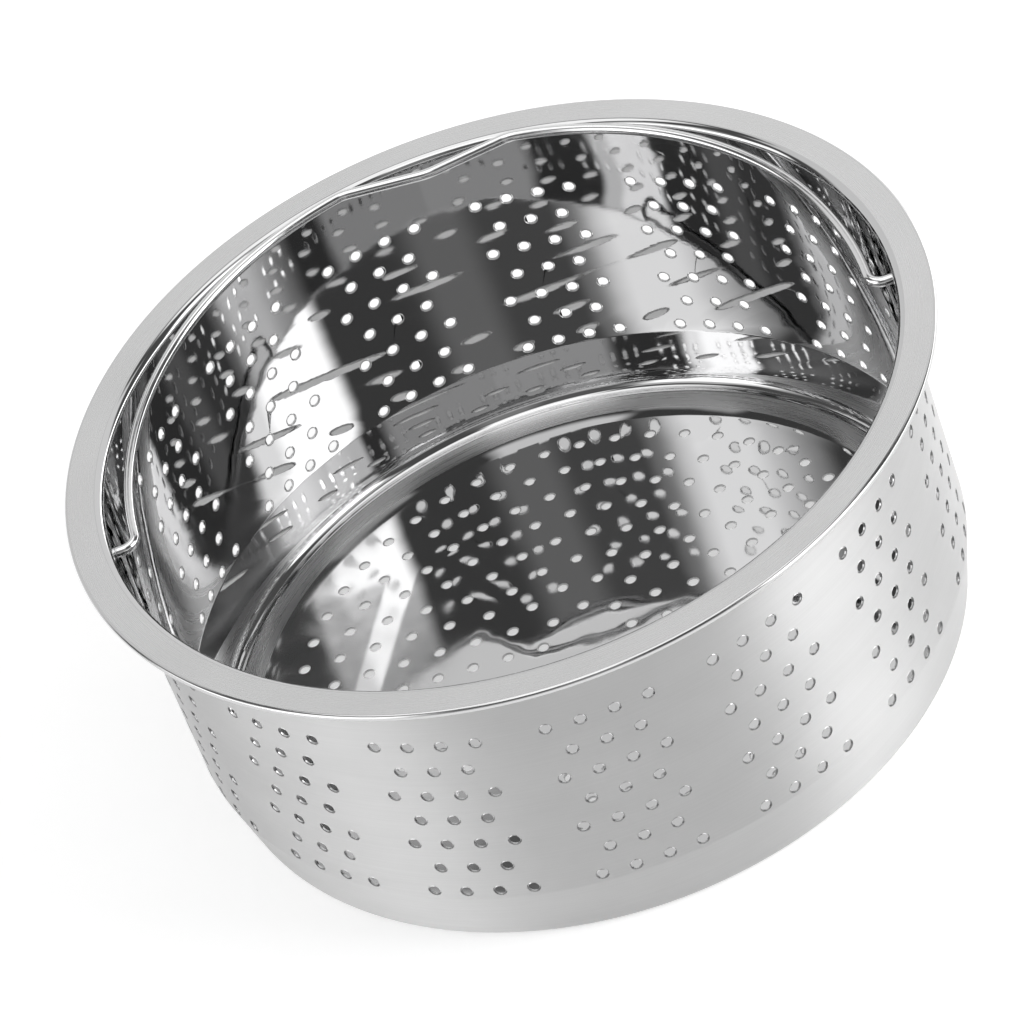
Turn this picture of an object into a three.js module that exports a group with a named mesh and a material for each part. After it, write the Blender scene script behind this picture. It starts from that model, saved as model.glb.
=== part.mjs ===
// Steamer basket: one deep drawn, perforated steel sheet with a flat flange, and one swinging wire bail.
// Lengths are in millimetres and angles in degrees. +Z is up and the basket stands on z = 0.
// The bail turns about an axis along X and lies towards +Y.

import * as THREE from 'three';
import { mergeVertices } from 'three/addons/utils/BufferGeometryUtils.js';

// Sheet and flange
const sheet = 0.6;                 // thickness of the drawn sheet
const height = 97;                 // from the rest plane to the top of the flange
const wallRadius = 109.7;          // outside of the straight wall
const flangeBend = 1.7;            // radius under the flange where it turns down into the wall
const flangeWidth = 8.6;           // flat flange outside that bend
const hemWidth = 4;                // edge of the flange, folded flat under itself
const flangeSteps = 2;             // facets round the flange bend

// Lower wall, foot and base
const kinkBelowHoles = 2.8;        // from the lowest wall holes down to the kink in the wall
const coneInset = 4.2;             // how far the wall leans in between the kink and the rest plane
const footBend = 3;                // outside radius where the wall turns into the foot ring
const footSteps = 2;               // facets round the foot bend
const footWidth = 5;               // flat ring that stands on the table
const stepWidth = 5;               // short slope from the foot ring up to the dome
const stepRise = 1.6;              // height of that slope
const domeRise = 3.5;              // further rise from the top of the slope to the middle

// Perforation
const holeRadius = 1.5;            // punched holes in wall and base
const holeSides = 3;               // sides of the polygon that stands for a punched hole
const outlineSpread = 20;          // spread of the angles to which these polygons are turned

const wallBlocks = 15;             // blocks of holes round the wall
const blockStart = 6;              // middle of the first block, from the pivot on +X
const blockColumns = 7;            // staggered columns in one block
const columnTurn = 2.4;            // angle between neighbouring columns
const columnHoles = 4;             // holes in every other column, the ones between have one fewer
const columnPitch = 17.87;         // between the holes of one column
const firstHoleDrop = 21.6;        // from the flange top down to the highest wall holes

const baseRings = 8;               // rings of holes in the base
const ringInset = 9.4;             // from the edge of the dome in to the outermost ring
const innerRingRadius = 12.6;      // circle through the holes of the innermost ring
const outerRingHoles = 50;         // holes in the outermost ring
const ringFewer = 6;               // each ring has this many holes fewer than the next one out
const ringStart = -6;              // every ring has a hole at this angle from +X

// Bail
const wireRadius = 1.5;            // round wire
const wireSides = 8;               // sides of the wire in section
const pivotDrop = 9;               // from the flange top down to the pivot axis
const pivotClearance = 0.3;        // round the wire in its two holes through the wall
const pivotSides = 12;             // sides of a pivot hole
const pinReach = 2.8;              // end of the wire standing out of the wall
const legGap = 4.4;                // between the legs of the bail and the inside of the wall
const pinBend = 4;                 // centre line radius where a leg turns into its pin
const legLength = 5.3;             // from the pivot axis to the centre of the big arc
const gripHalf = 27;               // half the distance between the ends of the big arc
const gripSlope = 8;               // slope of each half of the grip, down towards its middle
const gripBend = 12;               // centre line radius at the two corners of the grip
const gripMiddleBend = 16;         // centre line radius in the middle of the grip
const restClearance = 0.4;         // between the resting wire and the flange bend

const degrees = Math.PI / 180;

// Heights and radii that follow from the sizes above
const innerRadius = wallRadius - sheet;
const bendCentreR = wallRadius + flangeBend;
const bendCentreZ = height - sheet - flangeBend;
const flangeRadius = bendCentreR + flangeWidth;
const highestHoleZ = height - firstHoleDrop;
const kinkZ = highestHoleZ - (columnHoles - 1) * columnPitch - kinkBelowHoles;
const coneTilt = Math.atan2(coneInset, kinkZ);
const footTangent = footBend * Math.tan(Math.PI / 4 - coneTilt / 2);
const footCentreR = wallRadius - coneInset - footTangent;
const footInner = footCentreR - footWidth;
const stepInner = footInner - stepWidth;
const outerRingRadius = stepInner - ringInset;
const ringPitch = (outerRingRadius - innerRingRadius) / (baseRings - 1);
const pivotZ = height - pivotDrop;

function domeZ(r) {
  const share = r / stepInner;
  return stepRise + domeRise * (1 - share * share);
}

// Angles of the facet edges round the sheet. Each block of holes covers three facets, and the edges
// pass between its columns or between two blocks.
const blockTurn = 360 / wallBlocks;
const facetEdges = [];
for (let block = 0; block < wallBlocks; block += 1) {
  const middle = blockStart + block * blockTurn;
  facetEdges.push((middle - 1.5 * columnTurn) * degrees);
  facetEdges.push((middle + 1.5 * columnTurn) * degrees);
  facetEdges.push((middle + 0.5 * blockTurn) * degrees);
}

function ring(r, z) {
  return facetEdges.map((a) => new THREE.Vector3(r * Math.cos(a), r * Math.sin(a), z));
}

// Rings on an arc of the section, between two angles
function arcRings(centreR, centreZ, radius, from, to, steps) {
  const rings = [];
  for (let i = 0; i <= steps; i += 1) {
    const a = from + ((to - from) * i) / steps;
    rings.push(ring(centreR + radius * Math.cos(a), centreZ + radius * Math.sin(a)));
  }
  return rings;
}

// Triangles of the sheet, gathered corner by corner and welded at the end
const corners = [];

function triangle(a, b, c) {
  corners.push(a.x, a.y, a.z, b.x, b.y, b.z, c.x, c.y, c.z);
}

// Bands between rings that follow each other along the section
function bands(rings) {
  for (let k = 0; k + 1 < rings.length; k += 1) {
    const from = rings[k];
    const to = rings[k + 1];
    for (let i = 0; i < from.length; i += 1) {
      const j = (i + 1) % from.length;
      triangle(from[i], from[j], to[j]);
      triangle(from[i], to[j], to[i]);
    }
  }
}

// Patch of sheet with holes punched through it. Every point has a flat place, used to lay out the
// triangles, and a place on the front and on the back of the sheet.
function patch(outline, rims, holes) {
  const inner = rims.concat(holes);
  const points = outline.concat(...inner);
  const flat = (list) => list.map((p) => p.flat);
  for (const face of THREE.ShapeUtils.triangulateShape(flat(outline), inner.map(flat))) {
    const a = points[face[0]];
    let b = points[face[1]];
    let c = points[face[2]];
    const turn = b.flat.clone().sub(a.flat).cross(c.flat.clone().sub(a.flat));
    if (turn < 0) {
      [b, c] = [c, b];
    }
    triangle(a.front, b.front, c.front);
    triangle(a.back, c.back, b.back);
  }
  for (const hole of holes) {
    for (let i = 0; i < hole.length; i += 1) {
      const a = hole[i];
      const b = hole[(i + 1) % hole.length];
      triangle(a.front, b.front, b.back);
      triangle(a.front, b.back, a.back);
    }
  }
}

// Flat outline of a hole. Its corners lie as far outside the round hole as its sides lie inside.
// Each outline is turned a little differently, so that corners of neighbouring holes are never in line.
let outlineCount = 0;

function holeOutline(u, v, radius, sides, turn) {
  const reach = (2 * radius) / (1 + Math.cos(Math.PI / sides));
  const ownTurn = turn + outlineSpread * degrees * (((outlineCount * 0.618034) % 1) - 0.5);
  outlineCount += 1;
  const outline = [];
  for (let i = 0; i < sides; i += 1) {
    const a = ownTurn + (2 * Math.PI * i) / sides;
    outline.push(new THREE.Vector2(u + reach * Math.cos(a), v + reach * Math.sin(a)));
  }
  return outline;
}

// Holes in the wall: angle, height, radius and number of sides of each
const wallHoles = [];
for (let block = 0; block < wallBlocks; block += 1) {
  for (let column = 0; column < blockColumns; column += 1) {
    const offset = (column - (blockColumns - 1) / 2) * columnTurn;
    const angle = (blockStart + block * blockTurn + offset) * degrees;
    const short = column % 2;
    for (let row = 0; row < columnHoles - short; row += 1) {
      const z = highestHoleZ - (row + short / 2) * columnPitch;
      wallHoles.push({ angle, z, radius: holeRadius, sides: holeSides });
    }
  }
}
for (const angle of [0, Math.PI]) {
  wallHoles.push({ angle, z: pivotZ, radius: wireRadius + pivotClearance, sides: pivotSides });
}

// Wall: one flat facet after another, each with the holes that fall on it
const outerKink = ring(wallRadius, kinkZ);
const innerKink = ring(innerRadius, kinkZ + sheet * Math.tan(coneTilt / 2));
const outerTop = ring(wallRadius, bendCentreZ);
const innerTop = ring(innerRadius, bendCentreZ);
for (let i = 0; i < facetEdges.length; i += 1) {
  const j = (i + 1) % facetEdges.length;
  const turn = THREE.MathUtils.euclideanModulo(facetEdges[j] - facetEdges[i], 2 * Math.PI);
  const middle = facetEdges[i] + turn / 2;
  const out = new THREE.Vector3(Math.cos(middle), Math.sin(middle), 0);
  const along = new THREE.Vector3(-Math.sin(middle), Math.cos(middle), 0);
  const frontOut = wallRadius * Math.cos(turn / 2);
  const backOut = innerRadius * Math.cos(turn / 2);
  const side = wallRadius * Math.sin(turn / 2);
  const place = (flat, distance) => {
    const point = along.clone().multiplyScalar(flat.x).addScaledVector(out, distance);
    return point.setZ(flat.y);
  };
  const rim = (u, v, front, back) => ({ flat: new THREE.Vector2(u, v), front, back });
  const outline = [
    rim(-side, kinkZ, outerKink[i], innerKink[i]),
    rim(side, kinkZ, outerKink[j], innerKink[j]),
    rim(side, bendCentreZ, outerTop[j], innerTop[j]),
    rim(-side, bendCentreZ, outerTop[i], innerTop[i]),
  ];
  const holes = [];
  for (const hole of wallHoles) {
    const away = THREE.MathUtils.euclideanModulo(hole.angle - middle + Math.PI, 2 * Math.PI) - Math.PI;
    if (Math.abs(away) < turn / 2) {
      const u = frontOut * Math.tan(away);
      const flats = holeOutline(u, hole.z, hole.radius, hole.sides, Math.PI / 2);
      holes.push(flats.map((flat) => ({
        flat,
        front: place(flat, frontOut),
        back: place(flat, backOut),
      })));
    }
  }
  patch(outline, [], holes);
}

// Base: one ring of holes after another, with a plain circle between neighbouring rings
const stepUnder = ring(stepInner, stepRise);
const stepTop = ring(stepInner, stepRise + sheet);

function basePoint(flat) {
  const z = domeZ(flat.length());
  const front = new THREE.Vector3(flat.x, flat.y, z + sheet);
  const back = new THREE.Vector3(flat.x, flat.y, z);
  return { flat, front, back };
}

let baseRim = stepTop.map((front, i) => ({
  flat: new THREE.Vector2(front.x, front.y),
  front,
  back: stepUnder[i],
}));
for (let k = 0; k < baseRings; k += 1) {
  const radius = outerRingRadius - k * ringPitch;
  const count = outerRingHoles - k * ringFewer;
  const holes = [];
  for (let i = 0; i < count; i += 1) {
    const a = ringStart * degrees + (2 * Math.PI * i) / count;
    const u = radius * Math.cos(a);
    const v = radius * Math.sin(a);
    holes.push(holeOutline(u, v, holeRadius, holeSides, a).map(basePoint));
  }
  const innerRim = [];
  const plainCount = Math.ceil(count / 2);
  if (k + 1 < baseRings) {
    for (let i = 0; i < plainCount; i += 1) {
      const a = ringStart * degrees + (2 * Math.PI * i) / plainCount;
      const r = radius - ringPitch / 2;
      innerRim.push(basePoint(new THREE.Vector2(r * Math.cos(a), r * Math.sin(a))));
    }
  }
  patch(baseRim, innerRim.length ? [innerRim] : [], holes);
  baseRim = innerRim;
}

// Foot and lower wall outside, flange with its folded edge, then foot and lower wall inside
const footFrom = -Math.PI / 2;
const footOuter = arcRings(footCentreR, footBend, footBend, footFrom, -coneTilt, footSteps);
const footInside = arcRings(footCentreR, footBend, footBend - sheet, -coneTilt, footFrom, footSteps);
const underBend = arcRings(bendCentreR, bendCentreZ, flangeBend, Math.PI, Math.PI / 2, flangeSteps);
const topBend = arcRings(bendCentreR, bendCentreZ, flangeBend + sheet, Math.PI / 2, Math.PI, flangeSteps);
bands([stepUnder, ring(footInner, 0), ...footOuter, outerKink]);
bands([
  outerTop,
  ...underBend.slice(1),
  ring(flangeRadius - hemWidth, height - sheet),
  ring(flangeRadius - hemWidth, height - 2 * sheet),
  ring(flangeRadius - sheet, height - 2 * sheet),
  ring(flangeRadius, height - sheet),
  ring(flangeRadius - sheet, height),
  ...topBend.slice(0, -1),
  innerTop,
]);
bands([innerKink, ...footInside, ring(footInner, sheet), stepTop]);

const loose = new THREE.BufferGeometry();
loose.setAttribute('position', new THREE.Float32BufferAttribute(corners, 3));
const sheetGeometry = mergeVertices(loose, 1e-3);
sheetGeometry.computeVertexNormals();

// Bail: centre line of one half in its own plane, p along the pivot axis and q away from it.
// Each stretch is a straight or an arc that carries on in the heading of the one before.
const legP = innerRadius - legGap - wireRadius;
const arcEnd = Math.acos(gripHalf / legP);
const halfLine = [];

function walk() {
  let p = wallRadius + pinReach;
  let q = 0;
  let heading = Math.PI;
  halfLine.push([p, q]);
  const straight = (length) => {
    p += length * Math.cos(heading);
    q += length * Math.sin(heading);
    halfLine.push([p, q]);
  };
  const arc = (radius, turn, steps) => {
    const side = Math.sign(turn);
    const centreP = p - side * radius * Math.sin(heading);
    const centreQ = q + side * radius * Math.cos(heading);
    const start = heading;
    for (let i = 1; i <= steps; i += 1) {
      heading = start + (turn * i) / steps;
      p = centreP + side * radius * Math.sin(heading);
      q = centreQ - side * radius * Math.cos(heading);
      halfLine.push([p, q]);
    }
  };
  straight(p - legP - pinBend);
  arc(pinBend, -Math.PI / 2, 4);
  straight(legLength - pinBend);
  arc(legP, arcEnd, 14);
  arc(gripBend, Math.PI / 2 - arcEnd + gripSlope * degrees, 3);
  straight((p - gripMiddleBend * Math.sin(gripSlope * degrees)) / Math.cos(gripSlope * degrees));
  arc(gripMiddleBend, -gripSlope * degrees, 1);
}
walk();

// Tilt at which the wire rests on the flange bend with the named clearance
function wireGap(tilt) {
  let least = Infinity;
  for (const [p, q] of halfLine) {
    const r = Math.hypot(p, q * Math.cos(tilt));
    const z = pivotZ + q * Math.sin(tilt);
    if (q > legLength) {
      let gap = Math.hypot(bendCentreR - r, z - bendCentreZ) - flangeBend - sheet;
      if (z < bendCentreZ) {
        gap = innerRadius - r;
      } else if (r > bendCentreR) {
        gap = z - height;
      }
      least = Math.min(least, gap - wireRadius);
    }
  }
  return least;
}

let lowTilt = 0;
let highTilt = Math.PI / 4;
for (let i = 0; i < 40; i += 1) {
  const tilt = (lowTilt + highTilt) / 2;
  if (wireGap(tilt) < restClearance) {
    lowTilt = tilt;
  } else {
    highTilt = tilt;
  }
}
const restTilt = highTilt;

// Both halves as one line through the points above
class WireLine extends THREE.Curve {
  constructor(points) {
    super();
    this.points = points;
  }

  getPoint(t, target = new THREE.Vector3()) {
    const place = t * (this.points.length - 1);
    const i = Math.min(Math.floor(place), this.points.length - 2);
    return target.lerpVectors(this.points[i], this.points[i + 1], place - i);
  }

  getUtoTmapping(u) {
    return u;
  }
}

const otherHalf = halfLine.slice(0, -1).reverse().map(([p, q]) => [-p, q]);
const wirePoints = halfLine.concat(otherHalf).map(([p, q]) => (
  new THREE.Vector3(p, q * Math.cos(restTilt), pivotZ + q * Math.sin(restTilt))
));
const section = [];
for (let i = 0; i < wireSides; i += 1) {
  const a = (2 * Math.PI * (i + 0.5)) / wireSides;
  section.push(new THREE.Vector2(wireRadius * Math.cos(a), wireRadius * Math.sin(a)));
}
const wireGeometry = new THREE.ExtrudeGeometry(new THREE.Shape(section), {
  steps: wirePoints.length - 1,
  extrudePath: new WireLine(wirePoints),
});

const basket = new THREE.Mesh(sheetGeometry, new THREE.MeshStandardMaterial({
  color: 0xb8babd,
  roughness: 0.3,
  metalness: 1,
}));
basket.name = 'basket_shell';

const bail = new THREE.Mesh(wireGeometry, new THREE.MeshStandardMaterial({
  color: 0xc6c8ca,
  roughness: 0.2,
  metalness: 1,
}));
bail.name = 'wire_bail';

const steamerBasket = new THREE.Group();
steamerBasket.name = 'steamer_basket';
steamerBasket.add(basket, bail);

export default steamerBasket;
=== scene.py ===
import math

import bmesh
import bpy
import numpy as np
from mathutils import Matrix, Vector


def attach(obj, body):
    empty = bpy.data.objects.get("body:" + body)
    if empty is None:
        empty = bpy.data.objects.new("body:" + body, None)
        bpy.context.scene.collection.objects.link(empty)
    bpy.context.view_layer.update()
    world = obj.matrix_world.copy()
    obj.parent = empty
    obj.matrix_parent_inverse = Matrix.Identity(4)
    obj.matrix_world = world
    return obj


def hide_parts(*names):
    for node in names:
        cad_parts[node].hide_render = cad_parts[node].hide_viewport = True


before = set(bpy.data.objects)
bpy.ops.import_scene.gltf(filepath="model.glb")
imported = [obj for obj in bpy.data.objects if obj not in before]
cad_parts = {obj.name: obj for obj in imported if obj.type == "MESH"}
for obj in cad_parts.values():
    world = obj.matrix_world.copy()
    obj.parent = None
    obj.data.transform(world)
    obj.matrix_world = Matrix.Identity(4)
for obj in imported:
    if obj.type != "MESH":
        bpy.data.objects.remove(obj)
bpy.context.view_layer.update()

# Sizes of the basket in metres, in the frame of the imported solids
SHEET = 0.0006
HEIGHT = 0.097
WALL_OUT = 0.1097
WALL_IN = WALL_OUT - SHEET
FLANGE_EDGE = 0.11975
CURL = 0.001
UNDER_BEND = 0.0017
BEND_R = WALL_OUT + UNDER_BEND
BEND_Z = HEIGHT - SHEET - UNDER_BEND
KINK_Z = 0.01899
KINK_BEND = 0.0035
CONE_INSET = 0.0042
CONE_TILT = math.atan2(CONE_INSET, KINK_Z)
FOOT_BEND = 0.003
FOOT_R = WALL_OUT - CONE_INSET - FOOT_BEND * math.tan(math.pi / 4 - CONE_TILT / 2)
FOOT_BAND = 0.010
DOME_EDGE = FOOT_R - FOOT_BAND
STEP_RISE = 0.0016
DOME_RISE = 0.0035
TURN_STEPS = 180
DOME_ROWS = 8

# Inside of the foot: round corner, band and step up to the base. The base is polished flatter than
# it is pressed.
CORNER_BEND = 0.004
CORNER_FLOOR = 0.0021
BAND_LEAN = math.radians(4.5)
STEP_WIDTH = 0.0045
STEP_LEAN = math.radians(-1.5)
BASE_EDGE = 0.0912
DOME_POLISH = 0.0015

# Holes: staggered columns in blocks round the wall, and rings in the base
HOLE = 0.0015
HOLE_SIDES = 14
LIP_WIDTH = 0.00017
LIP_DEPTH = 0.00008
LIP_OVER = 1.3
PUNCH_END = 0.0012
OUTER_EASE = math.radians(39)
INNER_EASE = math.radians(27)
SHEET_LIKE = 0.85
LIP_LIKE = 0.6
BLOCKS = 15
FIRST_BLOCK = math.radians(6)
COLUMNS = 7
LONG_COLUMN = 4
COLUMN_TURN = math.radians(2.4)
COLUMN_PITCH = 0.01787
TOP_HOLES_Z = HEIGHT - 0.0216
RINGS = 8
OUTER_RING = DOME_EDGE - 0.0094
INNER_RING = 0.0126
RING_PITCH = (OUTER_RING - INNER_RING) / (RINGS - 1)
RING_START = math.radians(-6)
OUTER_RING_HOLES = 50
FEWER_EACH_RING = 6

# Bail: a wire with bent ends in the pivot holes, legs along the wall and a grip in the middle
WIRE = 0.0015
WIRE_ROUND = 6
PIVOT_Z = HEIGHT - 0.009
PIVOT_PLAY = 0.0003
PIVOT_HOLE = WIRE + PIVOT_PLAY
PIN_END = WALL_OUT + 0.0028
PIN_BEND = 0.004
PIN_EDGE = 0.00035
LEG_GAP = 0.0044
LEG_X = WALL_IN - LEG_GAP - WIRE
LEG_LENGTH = 0.0053
GRIP_HALF = 0.027
GRIP_SLOPE = math.radians(8)
GRIP_BEND = 0.012
GRIP_MIDDLE_BEND = 0.016
REST_TILT = math.radians(4.955)

# Steel: its colours, and the usual range of noise in its finishes
STEEL = (0.6, 0.6, 0.602)
FOOT_STEEL = (0.68, 0.68, 0.682)
WIRE_STEEL = (0.72, 0.72, 0.722)
NOISE_LOW = 0.3
NOISE_HIGH = 0.7

# Studio
TENT_RADIUS = 3.0
LAMP_DISTANCE = 1.4
LAMP_SIZE = 0.8
FLOOR_SIZE = 12
FLOOR_GREY = 0.8
FLOOR_GLOW = 0.42
SKY_SEEN = 1.0
SKY_LIGHT = 0.75


def deselect_everything():
    if bpy.context.object and bpy.context.object.mode != "OBJECT":
        bpy.ops.object.mode_set(mode="OBJECT")
    bpy.ops.object.select_all(action="DESELECT")


def take_up(piece):
    deselect_everything()
    piece.select_set(True)
    bpy.context.view_layer.objects.active = piece


def finish_editing(name):
    """Leave edit mode, name the new piece and put its place into its mesh."""
    bpy.ops.object.mode_set(mode="OBJECT")
    piece = bpy.context.object
    piece.name = name
    piece.data.name = name
    bpy.ops.object.transform_apply(location=True, rotation=True, scale=True)
    return piece


def draw_line(points):
    """Start with one corner and extrude it from point to point. Leaves the line in edit mode."""
    deselect_everything()
    bpy.ops.mesh.primitive_plane_add(size=0.002, location=(0, 0, 0))
    bpy.ops.object.mode_set(mode="EDIT")
    bpy.ops.mesh.select_all(action="SELECT")
    bpy.ops.mesh.merge(type="CENTER")
    bpy.ops.transform.translate(value=points[0])
    for here, there in zip(points, points[1:]):
        move = tuple(b - a for a, b in zip(here, there))
        bpy.ops.mesh.extrude_vertices_move(TRANSFORM_OT_translate={"value": move})
    bpy.ops.mesh.select_all(action="SELECT")


def select_faces(piece, test):
    bpy.ops.mesh.select_all(action="DESELECT")
    edit = bmesh.from_edit_mesh(piece.data)
    for face in edit.faces:
        if test(face):
            face.select_set(True)
    bmesh.update_edit_mesh(piece.data)


# The sheet

def dome_height(r):
    return STEP_RISE + DOME_RISE * (1 - (r / DOME_EDGE) ** 2)


def section_parts(finish, points, normals):
    """Parts of the section between points: finish, both ends and the normals at both ends."""
    ends = zip(points, points[1:])
    leans = zip(normals, normals[1:])
    return [(finish, *pair, *lean) for pair, lean in zip(ends, leans)]


def straight(finish, here, there):
    """Straight length of the section, with the normals of its two ends."""
    dr, dz = there[0] - here[0], there[1] - here[1]
    normal = (dz / math.hypot(dr, dz), -dr / math.hypot(dr, dz))
    return [(finish, here, there, normal, normal)]


def bend(finish, centre, radius, start, end, steps):
    """Round length of the section about a centre, from one angle to another."""
    side = 1 if end > start else -1
    angles = [start + (end - start) * i / steps for i in range(steps + 1)]
    points = [(centre[0] + radius * math.cos(a), centre[1] + radius * math.sin(a)) for a in angles]
    normals = [(side * math.cos(a), side * math.sin(a)) for a in angles]
    return section_parts(finish, points, normals)


def domed(finish, radii, lift, side):
    """Length of the section along the dome of the base."""
    points = [(r, dome_height(r) + lift) for r in radii]
    slopes = [2 * DOME_POLISH * r / DOME_EDGE ** 2 for r in radii]
    normals = [(side * t / math.hypot(t, 1), side / math.hypot(t, 1)) for t in slopes]
    return section_parts(finish, points, normals)


def sheet_section():
    """Outline of the sheet on one side of its axis, from below the middle of the base, up the outside,
    round the flange and back down the inside to the middle of the base."""
    down = -math.pi / 2
    band = 0
    for _ in range(20):
        drop = STEP_RISE - FOOT_BEND * (1 - math.cos(band))
        band = math.atan2(drop, FOOT_R - FOOT_BEND * math.sin(band) - DOME_EDGE)
    tuck = KINK_BEND * math.tan(CONE_TILT / 2)
    kink = (WALL_OUT - KINK_BEND, KINK_Z + tuck)
    foot, rim = (FOOT_R, FOOT_BEND), (BEND_R, BEND_Z)
    curl = (FLANGE_EDGE - CURL, HEIGHT - CURL)
    curl_in = FLANGE_EDGE - 2 * CURL
    radii = [DOME_EDGE * i / DOME_ROWS for i in range(DOME_ROWS + 1)]
    base_radii = [BASE_EDGE * i / DOME_ROWS for i in range(DOME_ROWS, -1, -1)]

    foot_out = bend("outside", foot, FOOT_BEND, down - band, -CONE_TILT, 10)
    kink_out = bend("outside", kink, KINK_BEND, -CONE_TILT, 0, 4)
    rim_under = bend("outside", rim, UNDER_BEND, math.pi, math.pi / 2, 6)
    curled = bend("edge", curl, CURL, -math.pi, math.pi / 2, 20)
    rim_in = bend("wall", rim, UNDER_BEND + SHEET, math.pi / 2, math.pi, 12)
    kink_in = bend("wall", kink, KINK_BEND - SHEET, 0, -CONE_TILT, 4)
    base_edge = (BASE_EDGE, dome_height(BASE_EDGE) + SHEET)
    inset = KINK_BEND - SHEET - CORNER_BEND
    corner_z = CORNER_FLOOR + CORNER_BEND
    slide = (kink[1] - inset * math.sin(CONE_TILT) - corner_z) / math.cos(CONE_TILT)
    corner = (kink[0] + inset * math.cos(CONE_TILT) - slide * math.sin(CONE_TILT), corner_z)
    corner_in = bend("wall", corner, CORNER_BEND, -CONE_TILT, down, 14)

    line = domed("outside", radii, 0, -1)
    line += straight("outside", line[-1][2], foot_out[0][1]) + foot_out
    line += straight("outside", line[-1][2], kink_out[0][1]) + kink_out
    line += straight("outside", line[-1][2], rim_under[0][1]) + rim_under
    line += straight("outside", line[-1][2], (curl_in, HEIGHT - SHEET))
    line += straight("outside", line[-1][2], curled[0][1]) + curled
    line += straight("flange", line[-1][2], rim_in[0][1]) + rim_in
    line += straight("wall", line[-1][2], kink_in[0][1]) + kink_in
    line += straight("wall", line[-1][2], corner_in[0][1]) + corner_in
    step_foot = (BASE_EDGE + STEP_WIDTH, CORNER_FLOOR)
    lean = (math.sin(BAND_LEAN), math.cos(BAND_LEAN))
    line.append(("foot", line[-1][2], step_foot, lean, lean))
    step_lean = (math.sin(STEP_LEAN), math.cos(STEP_LEAN))
    line.append(("base", step_foot, base_edge, lean, step_lean))
    line += domed("base", base_radii, SHEET, 1)
    return line


def spin_sheet(section):
    points = [section[0][1]] + [part[2] for part in section]
    draw_line([(r, 0, z) for r, z in points])
    bpy.ops.mesh.spin(steps=TURN_STEPS, angle=math.tau, center=(0, 0, 0), axis=(0, 0, 1))
    bpy.ops.mesh.select_all(action="SELECT")
    bpy.ops.mesh.remove_doubles(threshold=1e-6)
    bpy.ops.mesh.normals_make_consistent(inside=False)
    return finish_editing("basket_sheet")


def nearest_part(section, places):
    """For each place, the part of the section it lies on and the normal of the sheet there."""
    start = np.array([part[1] for part in section])
    step = np.array([part[2] for part in section]) - start
    first = np.array([part[3] for part in section])
    last = np.array([part[4] for part in section])
    r = np.hypot(places[:, 0], places[:, 1])
    found, normals = [], []
    for rz in np.array_split(np.column_stack([r, places[:, 2]]), 40):
        offset = rz[:, None, :] - start[None]
        along = np.clip((offset * step[None]).sum(2) / (step ** 2).sum(1)[None], 0, 1)
        gap = np.linalg.norm(offset - along[..., None] * step[None], axis=2)
        near = gap.argmin(1)
        t = along[np.arange(len(rz)), near][:, None]
        normal = first[near] * (1 - t) + last[near] * t
        found.append(near)
        normals.append(normal / np.linalg.norm(normal, axis=1)[:, None])
    normals = np.concatenate(normals)
    away = places[:, :2] / np.maximum(r, 1e-7)[:, None]
    return np.concatenate(found), np.column_stack([away * normals[:, :1], normals[:, 1:]])


def finish_sheet(sheet, section, finishes):
    """One finish for each part of the section."""
    for finish in finishes.values():
        sheet.data.materials.append(finish)
    slots = list(finishes)
    middles = np.array([face.center for face in sheet.data.polygons])
    near, _ = nearest_part(section, middles)
    for face, part in zip(sheet.data.polygons, near):
        face.use_smooth = True
        face.material_index = slots.index(section[part][0])


def make_punch(radius):
    """Upright punch with flared ends, so that both edges of its hole come out eased."""
    deselect_everything()
    straight_depth = SHEET - 2 * LIP_DEPTH
    bpy.ops.mesh.primitive_cylinder_add(vertices=HOLE_SIDES, radius=radius, depth=straight_depth)
    piece = bpy.context.object
    bpy.ops.object.mode_set(mode="EDIT")
    flare = (radius + LIP_OVER * LIP_WIDTH) / radius
    for side in (1, -1):
        select_faces(piece, lambda face: face.normal.z * side > 0.9)
        lift = {"value": (0, 0, side * LIP_OVER * LIP_DEPTH)}
        bpy.ops.mesh.extrude_region_move(TRANSFORM_OT_translate=lift)
        end = (0, 0, side * (straight_depth / 2 + LIP_OVER * LIP_DEPTH))
        bpy.ops.transform.resize(value=(flare, flare, 1), center_override=end)
        through = {"value": (0, 0, side * PUNCH_END)}
        bpy.ops.mesh.extrude_region_move(TRANSFORM_OT_translate=through)
    bpy.ops.mesh.select_all(action="SELECT")
    bpy.ops.mesh.normals_make_consistent(inside=False)
    return finish_editing("punch")


def set_punch(punch, location, lean, turn):
    """Copy of a punch, leaning from upright away from the axis, then turned round the axis."""
    copy = punch.copy()
    copy.data = punch.data.copy()
    bpy.context.scene.collection.objects.link(copy)
    copy.rotation_euler = (0, lean, turn)
    copy.location = location
    return copy


def join_punches(copies, name):
    deselect_everything()
    for copy in copies:
        copy.select_set(True)
    bpy.context.view_layer.objects.active = copies[0]
    bpy.ops.object.transform_apply(location=True, rotation=True, scale=True)
    bpy.ops.object.join()
    joined = bpy.context.object
    joined.name = name
    return joined


def round_place(r, turn, z):
    return (r * math.cos(turn), r * math.sin(turn), z)


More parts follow.
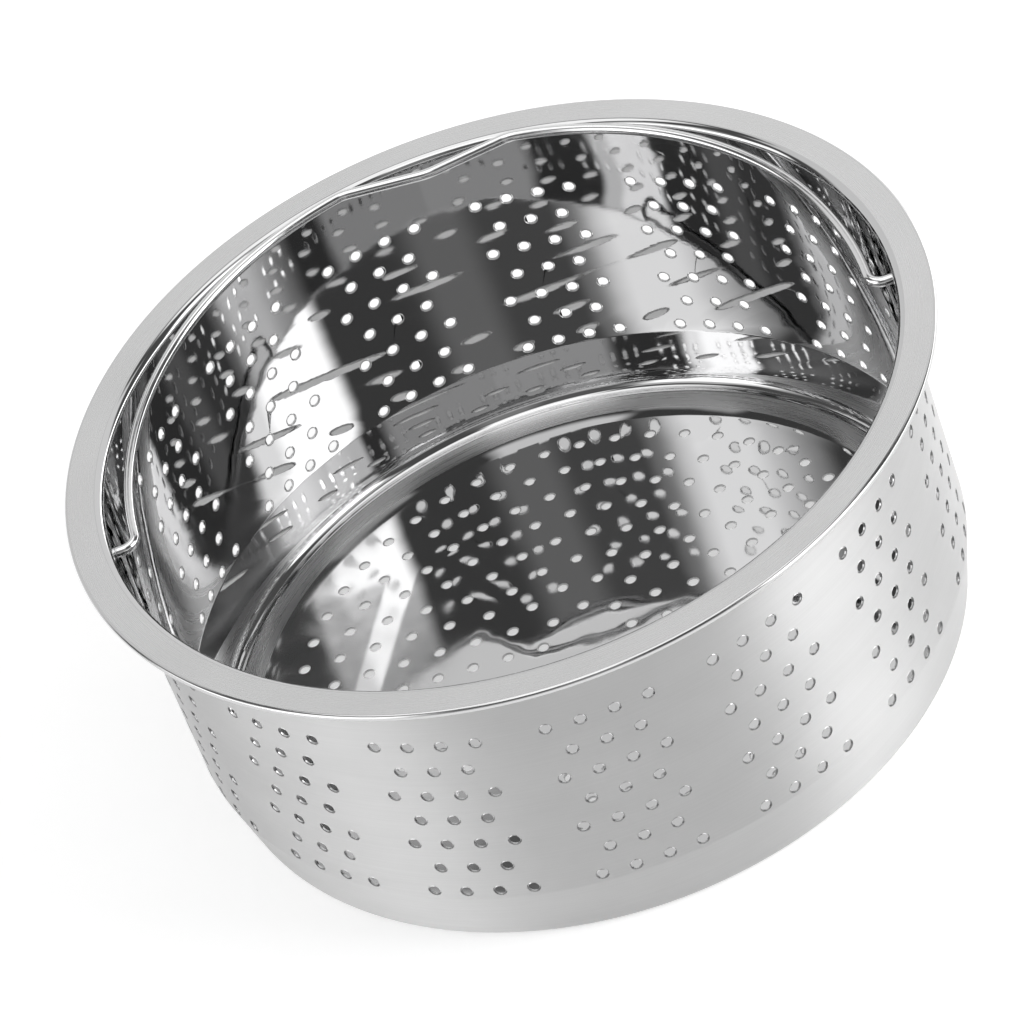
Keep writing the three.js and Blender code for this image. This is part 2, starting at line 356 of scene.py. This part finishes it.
def make_punches():
    """All the punches of the basket: blocks of staggered columns in the wall, rings in the base, and
    one for each pivot of the bail."""
    punch = make_punch(HOLE)
    pivot_punch = make_punch(PIVOT_HOLE)
    middle = WALL_OUT - SHEET / 2
    sideways = math.pi / 2
    copies = []
    for block in range(BLOCKS):
        for column in range(COLUMNS):
            turn = FIRST_BLOCK + block * math.tau / BLOCKS + (column - COLUMNS // 2) * COLUMN_TURN
            short = column % 2
            for row in range(LONG_COLUMN - short):
                z = TOP_HOLES_Z - (row + short / 2) * COLUMN_PITCH
                copies.append(set_punch(punch, round_place(middle, turn, z), sideways, turn))
    for ring in range(RINGS):
        r = OUTER_RING - ring * RING_PITCH
        lean = math.atan(2 * DOME_RISE * r / DOME_EDGE ** 2)
        holes = OUTER_RING_HOLES - FEWER_EACH_RING * ring
        for i in range(holes):
            turn = RING_START + i * math.tau / holes
            place = round_place(r, turn, dome_height(r) + SHEET / 2)
            copies.append(set_punch(punch, place, lean, turn))
    for turn in (0, math.pi):
        copies.append(set_punch(pivot_punch, round_place(middle, turn, PIVOT_Z), sideways, turn))
    bpy.data.objects.remove(punch)
    bpy.data.objects.remove(pivot_punch)
    return join_punches(copies, "punches")


def punch_sheet(sheet, punches):
    take_up(sheet)
    cut = sheet.modifiers.new("punched", "BOOLEAN")
    cut.operation = "DIFFERENCE"
    cut.solver = "MANIFOLD"
    cut.object = punches
    bpy.ops.object.modifier_apply(modifier=cut.name)
    bpy.data.objects.remove(punches)


def round_normals(sheet, section, cut_slot):
    """Give the punched sheet the normals of the unbroken round form, so that its polish shows no facets,
    and let the lip of each hole roll over from the sheet into the hole. A face counts as sheet or lip
    by how nearly its own normal follows the form."""
    mesh = sheet.data
    places = np.array([v.co for v in mesh.vertices])
    near, formed_at = nearest_part(section, places)
    start = np.array([part[1] for part in section])[near]
    flat = np.array([part[3] for part in section])[near]
    rz = np.column_stack([np.hypot(places[:, 0], places[:, 1]), places[:, 2]])
    depth = np.abs(((rz - start) * flat).sum(1))
    normals = np.zeros((len(mesh.loops), 3))
    for face in mesh.polygons:
        own = np.array(face.normal)
        for k in face.loop_indices:
            v = mesh.loops[k].vertex_index
            formed = formed_at[v]
            along = own @ formed
            if face.material_index != cut_slot:
                normals[k] = formed if along > SHEET_LIKE else own
            elif along < LIP_LIKE:
                normals[k] = own
            elif depth[v] < LIP_DEPTH / 2:
                normals[k] = formed
            else:
                inward = own - along * formed
                ease = OUTER_EASE if section[near[v]][0] == "outside" else INNER_EASE
                inward = inward / np.linalg.norm(inward)
                normals[k] = math.cos(ease) * formed + math.sin(ease) * inward
    mesh.normals_split_custom_set(normals.tolist())


# The bail

def bail_half():
    """Centre line of one half of the wire in its own plane, from the pin to the middle of the grip."""
    x, y, heading = PIN_END, 0.0, math.pi
    line = [(x, y)]

    def run_on(length, steps):
        nonlocal x, y
        for _ in range(steps):
            x += length / steps * math.cos(heading)
            y += length / steps * math.sin(heading)
            line.append((x, y))

    def run_round(radius, turn, steps):
        nonlocal x, y, heading
        side = math.copysign(1, turn)
        centre = (x - side * radius * math.sin(heading), y + side * radius * math.cos(heading))
        for _ in range(steps):
            heading += turn / steps
            x = centre[0] + side * radius * math.sin(heading)
            y = centre[1] - side * radius * math.cos(heading)
            line.append((x, y))

    arc_end = math.acos(GRIP_HALF / LEG_X)
    run_on(x - LEG_X - PIN_BEND, 2)
    run_round(PIN_BEND, -math.pi / 2, 12)
    run_on(LEG_LENGTH - PIN_BEND, 1)
    run_round(LEG_X, arc_end, 70)
    run_round(GRIP_BEND, math.pi / 2 - arc_end + GRIP_SLOPE, 8)
    run_on((x - GRIP_MIDDLE_BEND * math.sin(GRIP_SLOPE)) / math.cos(GRIP_SLOPE), 4)
    run_round(GRIP_MIDDLE_BEND, -GRIP_SLOPE, 4)
    return line


def is_pin_end(face):
    """Is this the flat face at one end of the wire?"""
    return abs(face.normal.x) > 0.99 and abs(face.calc_center_median().x) > PIN_END - 1e-5


def bend_wire():
    """Both halves of the centre line, tilted to rest, then given the thickness of the wire."""
    half = bail_half()
    whole = half + [(-x, y) for x, y in reversed(half[:-1])]
    rise, reach = math.sin(REST_TILT), math.cos(REST_TILT)
    draw_line([(x, y * reach, PIVOT_Z + y * rise) for x, y in whole])
    wire = finish_editing("bail_wire")
    bpy.ops.object.convert(target="CURVE")
    wire = bpy.context.object
    wire.data.bevel_depth = WIRE
    wire.data.bevel_resolution = WIRE_ROUND
    wire.data.use_fill_caps = True
    bpy.ops.object.convert(target="MESH")
    wire = bpy.context.object
    bpy.ops.object.mode_set(mode="EDIT")
    bpy.ops.mesh.select_all(action="SELECT")
    bpy.ops.mesh.remove_doubles(threshold=1e-7)
    bpy.ops.mesh.normals_make_consistent(inside=False)
    select_faces(wire, is_pin_end)
    bpy.ops.mesh.region_to_loop()
    bpy.ops.mesh.bevel(offset=PIN_EDGE, segments=3, affect="EDGES")
    wire = finish_editing("bail_wire")
    bpy.ops.object.shade_smooth_by_angle(angle=math.radians(35))
    return wire


# Finishes

class Finish:
    """Node material for one finish of the steel, built up step by step."""

    def __init__(self, name, colour, roughness):
        self.material = bpy.data.materials.new(name)
        self.material.use_nodes = True
        self.nodes = self.material.node_tree.nodes
        self.links = self.material.node_tree.links
        self.steel = self.nodes["Principled BSDF"]
        self.steel.inputs["Base Color"].default_value = (*colour, 1)
        self.steel.inputs["Metallic"].default_value = 1
        self.steel.inputs["Roughness"].default_value = roughness
        self.place = self.nodes.new("ShaderNodeTexCoord").outputs["Object"]
        self.height = None

    def math(self, operation, first, second=None):
        node = self.nodes.new("ShaderNodeMath")
        node.operation = operation
        for socket, value in zip(node.inputs, (first, second)):
            if value is None:
                continue
            if isinstance(value, (int, float)):
                socket.default_value = value
            else:
                self.links.new(value, socket)
        return node.outputs[0]

    def noise(self, stretch, detail, rough=0.55, place=None):
        """Noise in the sheet, stretch gives the waves per metre along x, y and z."""
        scale = self.nodes.new("ShaderNodeMapping")
        scale.inputs["Scale"].default_value = stretch
        self.links.new(place or self.place, scale.inputs["Vector"])
        node = self.nodes.new("ShaderNodeTexNoise")
        node.inputs["Scale"].default_value = 1
        node.inputs["Detail"].default_value = detail
        node.inputs["Roughness"].default_value = rough
        self.links.new(scale.outputs[0], node.inputs["Vector"])
        return node.outputs["Fac"]

    def turned_place(self):
        """Place as distance from the axis, turn round it and height."""
        split = self.nodes.new("ShaderNodeSeparateXYZ")
        self.links.new(self.place, split.inputs[0])
        x, y, z = split.outputs
        squares = self.math("ADD", self.math("MULTIPLY", x, x), self.math("MULTIPLY", y, y))
        distance = self.math("SQRT", squares)
        join = self.nodes.new("ShaderNodeCombineXYZ")
        self.links.new(distance, join.inputs[0])
        self.links.new(self.math("ARCTAN2", y, x), join.inputs[1])
        self.links.new(z, join.inputs[2])
        return join.outputs[0]

    def span(self, value, low, high):
        """Spread the usual range of noise between two levels."""
        node = self.nodes.new("ShaderNodeMapRange")
        node.inputs["From Min"].default_value = NOISE_LOW
        node.inputs["From Max"].default_value = NOISE_HIGH
        node.inputs["To Min"].default_value = low
        node.inputs["To Max"].default_value = high
        self.links.new(value, node.inputs["Value"])
        return node.outputs["Result"]

    def roughness(self, value):
        self.links.new(value, self.steel.inputs["Roughness"])

    def shade(self, value, dark, light):
        level = self.span(value, dark, light)
        join = self.nodes.new("ShaderNodeCombineColor")
        for socket in join.inputs[:3]:
            self.links.new(level, socket)
        self.links.new(join.outputs[0], self.steel.inputs["Base Color"])

    def relief(self, value, depth):
        """Add to the relief of the surface, depth in metres."""
        node = self.nodes.new("ShaderNodeBump")
        node.inputs["Strength"].default_value = 1
        node.inputs["Distance"].default_value = depth
        self.links.new(value, node.inputs["Height"])
        if self.height:
            self.links.new(self.height, node.inputs["Normal"])
        self.height = node.outputs["Normal"]
        self.links.new(self.height, self.steel.inputs["Normal"])

    def ramp(self, value, start, end):
        """Rise from 0 to 1 as a value goes from start to end."""
        node = self.nodes.new("ShaderNodeMapRange")
        node.interpolation_type = "SMOOTHSTEP"
        node.inputs["From Min"].default_value = start
        node.inputs["From Max"].default_value = end
        self.links.new(value, node.inputs["Value"])
        return node.outputs["Result"]

    def tip(self, value, lean):
        """Tip the surface by a small lean where a value is 1."""
        add, unit = self.nodes.new("ShaderNodeVectorMath"), self.nodes.new("ShaderNodeVectorMath")
        add.operation, unit.operation = "MULTIPLY_ADD", "NORMALIZE"
        self.links.new(value, add.inputs[0])
        add.inputs[1].default_value = lean
        self.links.new(self.height, add.inputs[2])
        self.links.new(add.outputs[0], unit.inputs[0])
        self.links.new(unit.outputs[0], self.steel.inputs["Normal"])

    def brushed_round(self, amount):
        """Brushing that runs round the axis and spreads its reflections across the lines."""
        turn = self.nodes.new("ShaderNodeTangent")
        turn.direction_type = "RADIAL"
        turn.axis = "Z"
        self.links.new(turn.outputs[0], self.steel.inputs["Tangent"])
        self.steel.inputs["Anisotropic"].default_value = amount
        self.steel.inputs["Anisotropic Rotation"].default_value = 0.25


def polished_wall():
    """Bright polish, a little wavy, with fine lines round the wall."""
    finish = Finish("polished_wall", STEEL, 0.05)
    turned = finish.turned_place()
    finish.relief(finish.noise((50, 50, 38), 2), 0.00004)
    finish.relief(finish.noise((1, 8, 500), 2, 0.6, turned), 0.0000025)
    finish.roughness(finish.span(finish.noise((30, 4, 120), 3, 0.55, turned), 0.01, 0.04))
    return finish.material


def polished_base():
    """Bright polish, wavy from pressing, hazy towards the left and tipped beside a crest there."""
    haze_start, haze_growth = 0.03, -40
    crest_slope, crest_offset = -0.42, 0.067
    crest_inner, crest_outer = 0.003, 0.0055
    lean = (0.04, -0.05, 0)
    finish = Finish("polished_base", STEEL, 0.1)
    turned = finish.turned_place()
    finish.relief(finish.noise((45, 45, 45), 2), 0.0001)
    lines = finish.noise((5200, 3, 1), 2, 0.6, turned)
    finish.relief(lines, 0.0000006)
    split = finish.nodes.new("ShaderNodeSeparateXYZ")
    finish.links.new(finish.place, split.inputs[0])
    x, y = split.outputs[:2]
    reach = finish.math("MULTIPLY", finish.math("ADD", x, haze_start), haze_growth)
    left = finish.math("MINIMUM", finish.math("MAXIMUM", reach, 0), 1)
    haze = finish.math("MULTIPLY", left, finish.span(finish.noise((25, 25, 25), 3), 0.06, 0.16))
    polish = finish.span(finish.noise((60, 60, 60), 3), 0.012, 0.05)
    finish.roughness(finish.math("ADD", haze, polish))
    across = finish.math("ADD", finish.math("MULTIPLY", y, crest_slope), x)
    crest = finish.math("ADD", across, crest_offset)
    beside = finish.ramp(finish.math("ABSOLUTE", crest), crest_inner, crest_outer)
    sides = finish.math("MULTIPLY", finish.ramp(x, -0.015, -0.03), finish.ramp(y, 0.06, 0.05))
    finish.tip(finish.math("MULTIPLY", beside, sides), lean)
    return finish.material


def pressed_foot():
    """Satin band with fine pressing lines round the foot."""
    finish = Finish("pressed_foot", FOOT_STEEL, 0.2)
    turned = finish.turned_place()
    lines = finish.noise((2600, 2.5, 1800), 3, 0.6, turned)
    finish.relief(lines, 0.0000012)
    finish.roughness(finish.span(lines, 0.24, 0.34))
    finish.brushed_round(0.3)
    return finish.material


def satin_flange():
    """Even satin with fine lines round the flange; its steel is painted lighter than the rest of the
    sheet, painted light that brightens the flange, with a little tone that differs at random.
    """
    finish = Finish("satin_flange", STEEL, 0.3)
    turned = finish.turned_place()
    lines = finish.noise((3800, 2.5, 1), 3, 0.65, turned)
    finish.relief(lines, 0.0000006)
    finish.roughness(finish.span(lines, 0.24, 0.31))
    # Painted light: the flange's steel is set lighter than the wall's 0.6 to brighten it, and the noise
    # varies its tone a little at random.
    finish.shade(finish.noise((40, 40, 40), 3), 0.65, 0.68)
    return finish.material


def polished_edge():
    """Smooth rolled edge."""
    finish = Finish("polished_edge", STEEL, 0.12)
    turned = finish.turned_place()
    finish.roughness(finish.span(finish.noise((900, 12, 900), 2, 0.5, turned), 0.08, 0.16))
    return finish.material


def brushed_outside():
    """Brushing round the outside, with lines of different strength and broad cloudy tones."""
    finish = Finish("brushed_outside", STEEL, 0.5)
    turned = finish.turned_place()
    lines = finish.noise((900, 1.6, 2600), 4, 0.65, turned)
    broad = finish.noise((60, 3, 60), 3, 0.55, turned)
    finish.relief(lines, 0.0000015)
    finish.roughness(finish.span(lines, 0.46, 0.54))
    tone = finish.math("ADD", finish.math("MULTIPLY", lines, 0.6), finish.math("MULTIPLY", broad, 0.4))
    finish.shade(tone, 0.56, 0.64)
    finish.brushed_round(0.9)
    return finish.material


def cut_edge():
    """Punched edge inside the holes."""
    finish = Finish("cut_edge", STEEL, 0.3)
    finish.roughness(finish.span(finish.noise((2500, 2500, 2500), 2), 0.24, 0.38))
    return finish.material


def polished_wire():
    """Drawn wire, polished and very slightly uneven."""
    finish = Finish("polished_wire", WIRE_STEEL, 0.12)
    finish.relief(finish.noise((140, 140, 140), 2), 0.00001)
    finish.roughness(finish.span(finish.noise((300, 300, 300), 3), 0.08, 0.18))
    return finish.material


# Pieces

section = sheet_section()
basket_sheet = spin_sheet(section)
finish_sheet(basket_sheet, section, {
    "wall": polished_wall(),
    "foot": pressed_foot(),
    "base": polished_base(),
    "flange": satin_flange(),
    "edge": polished_edge(),
    "outside": brushed_outside(),
})
hole_finish = cut_edge()
hole_slot = len(basket_sheet.data.materials)
basket_sheet.data.materials.append(hole_finish)
punches = make_punches()
punches.data.materials.append(hole_finish)
punch_sheet(basket_sheet, punches)
round_normals(basket_sheet, section, hole_slot)
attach(basket_sheet, "basket")
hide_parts("basket_shell")

bail_wire = bend_wire()
bail_wire.data.materials.clear()
bail_wire.data.materials.append(polished_wire())
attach(bail_wire, "bail")
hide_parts("wire_bail")


# Studio

def from_camera_side(turn, rise, distance):
    """Place in the studio. Turn is from the camera's side, positive to the right, and rise is above
    the floor."""
    a, e = math.radians(turn), math.radians(rise)
    return Vector((math.sin(a) * math.cos(e), -math.cos(a) * math.cos(e), math.sin(e))) * distance


def studio_tent(panels, overhead, level):
    """Tent round the set that only shows in reflections, dark but for panels with soft edges.
    A panel has its turn from and to, its rise from and to, softness of both, and its brightness. The
    overhead panel is round, with its rise at the back, its half width, softness and brightness."""
    deselect_everything()
    bpy.ops.mesh.primitive_uv_sphere_add(segments=48, ring_count=24, radius=TENT_RADIUS)
    tent = bpy.context.object
    tent.name = "studio_tent"
    bpy.ops.object.mode_set(mode="EDIT")
    bpy.ops.mesh.select_all(action="SELECT")
    bpy.ops.mesh.bisect(plane_co=(0, 0, 0.002), plane_no=(0, 0, 1), clear_inner=True)
    bpy.ops.object.mode_set(mode="OBJECT")
    material = bpy.data.materials.new("studio_tent")
    material.use_nodes = True
    nodes, links = material.node_tree.nodes, material.node_tree.links
    nodes.clear()

    def reckon(operation, first, second=None):
        node = nodes.new("ShaderNodeMath")
        node.operation = operation
        for socket, value in zip(node.inputs, (first, second)):
            if isinstance(value, (int, float)):
                socket.default_value = value
            elif value:
                links.new(value, socket)
        return node.outputs[0]

    def between(value, low, high, soft):
        up, fall = nodes.new("ShaderNodeMapRange"), nodes.new("ShaderNodeMapRange")
        for node, edge, ends in ((up, low, (0, 1)), (fall, high, (1, 0))):
            node.interpolation_type = "SMOOTHSTEP"
            node.inputs["From Min"].default_value = edge - soft
            node.inputs["From Max"].default_value = edge + soft
            node.inputs["To Min"].default_value, node.inputs["To Max"].default_value = ends
            links.new(value, node.inputs["Value"])
        return reckon("MULTIPLY", up.outputs["Result"], fall.outputs["Result"])

    place = nodes.new("ShaderNodeTexCoord").outputs["Object"]
    split = nodes.new("ShaderNodeSeparateXYZ")
    links.new(place, split.inputs[0])
    x, y, z = split.outputs
    turn = reckon("DEGREES", reckon("ARCTAN2", x, reckon("MULTIPLY", y, -1)))
    rise = reckon("DEGREES", reckon("ARCSINE", reckon("DIVIDE", z, TENT_RADIUS)))
    total = level
    for turns, rises, softs, brightness in panels:
        seen = reckon("MULTIPLY", between(turn, *turns, softs[0]), between(rise, *rises, softs[1]))
        total = reckon("ADD", total, reckon("MULTIPLY", seen, brightness))
    middle_rise, half_width, soft, brightness = overhead
    lean = math.radians(middle_rise)
    back = reckon("MULTIPLY", y, math.cos(lean) / TENT_RADIUS)
    up = reckon("MULTIPLY", z, math.sin(lean) / TENT_RADIUS)
    off = reckon("DEGREES", reckon("ARCCOSINE", reckon("ADD", back, up)))
    inside_middle = -50
    seen = between(off, inside_middle, half_width, soft)
    total = reckon("ADD", total, reckon("MULTIPLY", seen, brightness))
    glow = nodes.new("ShaderNodeEmission")
    glow.inputs["Color"].default_value = (1, 1, 1, 1)
    links.new(total, glow.inputs["Strength"])
    out = nodes.new("ShaderNodeOutputMaterial")
    links.new(glow.outputs[0], out.inputs["Surface"])
    tent.data.materials.append(material)
    tent.visible_camera = False
    tent.visible_diffuse = False
    tent.visible_shadow = False
    tent.visible_transmission = False


def softbox(name, turn, rise, power):
    """Square lamp that faces the basket and doesn't show in its reflections."""
    lamp = bpy.data.lights.new(name, "AREA")
    lamp.shape = "RECTANGLE"
    lamp.size = LAMP_SIZE
    lamp.size_y = LAMP_SIZE
    lamp.energy = power
    box = bpy.data.objects.new(name, lamp)
    box.location = from_camera_side(turn, rise, LAMP_DISTANCE)
    box.rotation_euler = (-box.location).to_track_quat("-Z", "Y").to_euler()
    box.visible_glossy = False
    bpy.context.scene.collection.objects.link(box)


def lay_floor():
    """White floor that keeps the shadow, and glows a little where it is seen or reflected."""
    deselect_everything()
    bpy.ops.mesh.primitive_plane_add(size=FLOOR_SIZE, location=(0, 0, 0))
    floor = bpy.context.object
    floor.name = "floor"
    pale = bpy.data.materials.new("pale_floor")
    pale.use_nodes = True
    nodes, links = pale.node_tree.nodes, pale.node_tree.links
    nodes.clear()
    matt = nodes.new("ShaderNodeBsdfDiffuse")
    matt.inputs["Color"].default_value = (FLOOR_GREY, FLOOR_GREY, FLOOR_GREY, 1)
    glow = nodes.new("ShaderNodeEmission")
    glow.inputs["Color"].default_value = (1, 1, 1, 1)
    path = nodes.new("ShaderNodeLightPath")
    seen = nodes.new("ShaderNodeMath")
    seen.operation = "MAXIMUM"
    share = nodes.new("ShaderNodeMath")
    share.operation = "MULTIPLY"
    share.inputs[1].default_value = FLOOR_GLOW
    both = nodes.new("ShaderNodeAddShader")
    out = nodes.new("ShaderNodeOutputMaterial")
    links.new(path.outputs["Is Camera Ray"], seen.inputs[0])
    links.new(path.outputs["Is Glossy Ray"], seen.inputs[1])
    links.new(seen.outputs[0], share.inputs[0])
    links.new(share.outputs[0], glow.inputs["Strength"])
    links.new(matt.outputs[0], both.inputs[0])
    links.new(glow.outputs[0], both.inputs[1])
    links.new(both.outputs[0], out.inputs["Surface"])
    floor.data.materials.append(pale)


def white_surround():
    """World that is white where it is seen and a little dimmer as light."""
    world = bpy.data.worlds.new("studio")
    bpy.context.scene.world = world
    world.use_nodes = True
    nodes, links = world.node_tree.nodes, world.node_tree.links
    nodes.clear()
    sky = nodes.new("ShaderNodeBackground")
    sky.inputs["Color"].default_value = (1, 1, 1, 1)
    path = nodes.new("ShaderNodeLightPath")
    level = nodes.new("ShaderNodeMapRange")
    level.inputs["To Min"].default_value = SKY_SEEN
    level.inputs["To Max"].default_value = SKY_LIGHT
    out = nodes.new("ShaderNodeOutputWorld")
    links.new(path.outputs["Is Diffuse Ray"], level.inputs["Value"])
    links.new(level.outputs["Result"], sky.inputs["Strength"])
    links.new(sky.outputs[0], out.inputs["Surface"])


def set_camera():
    """Camera of the main view."""
    lens = bpy.data.cameras.new("camera")
    lens.lens = 194.71
    lens.sensor_width = 36
    lens.clip_start = 0.05
    lens.clip_end = 50
    camera = bpy.data.objects.new("camera", lens)
    camera.location = (0.04859, -1.14541, 1.00357)
    camera.rotation_euler = tuple(math.radians(a) for a in (48.4425, 16.1969, -11.1081))
    bpy.context.scene.collection.objects.link(camera)
    bpy.context.scene.camera = camera


right_window = [
    ((45, 83), (4, 45), (3, 2), 1.8),
    ((46, 72), (4, 45), (3, 2), 1.0),
    ((46, 80), (4, 36), (3, 2), 1.2),
    ((45, 83), (45, 60), (3, 2), 0.6),
]
left_window = [
    ((-72, -44), (4, 45), (7, 2), 0.65),
    ((-83, -44), (4, 45), (7, 2), 0.6),
    ((-94, -44), (4, 45), (7, 2), 0.5),
    ((-84, -44), (4, 37), (3, 2), 0.5),
    ((-84, -44), (45, 57), (3, 2), 0.6),
    ((-84, -57), (4, 27), (2.5, 4), 0.5),
    ((-106, -84), (4, 27), (2.5, 4), 1.6),
    ((-46, -35), (4, 45), (3, 3), 0.25),
]
back_panels = [
    ((120, 400), (-20, 50.5), (5, 2), 0.85),
    ((-400, -120), (-20, 50.5), (5, 2), 0.75),
]
front_panels = [
    ((-45, 12), (60, 76), (5, 3), 1.3),
    ((-42, 42), (-20, 22), (5, 6), 0.5),
    ((-8, 11), (24, 56), (5, 6), 0.15),
    ((-40, 14), (24, 56), (6, 5), 0.04),
]
low_right_panel = [
    ((78, 145), (-20, 13), (6, 3), 2.8),
]
overhead_panel = (82, 26, 3, 1.4)
tent_level = 0.1

studio_tent(
    right_window + left_window + back_panels + front_panels + low_right_panel,
    overhead_panel,
    tent_level,
)
softbox("right_softbox", 68, 38, 7)
softbox("left_softbox", -66, 38, 1)
lay_floor()
white_surround()
set_camera()
bpy.context.scene.view_settings.view_transform = "Standard"
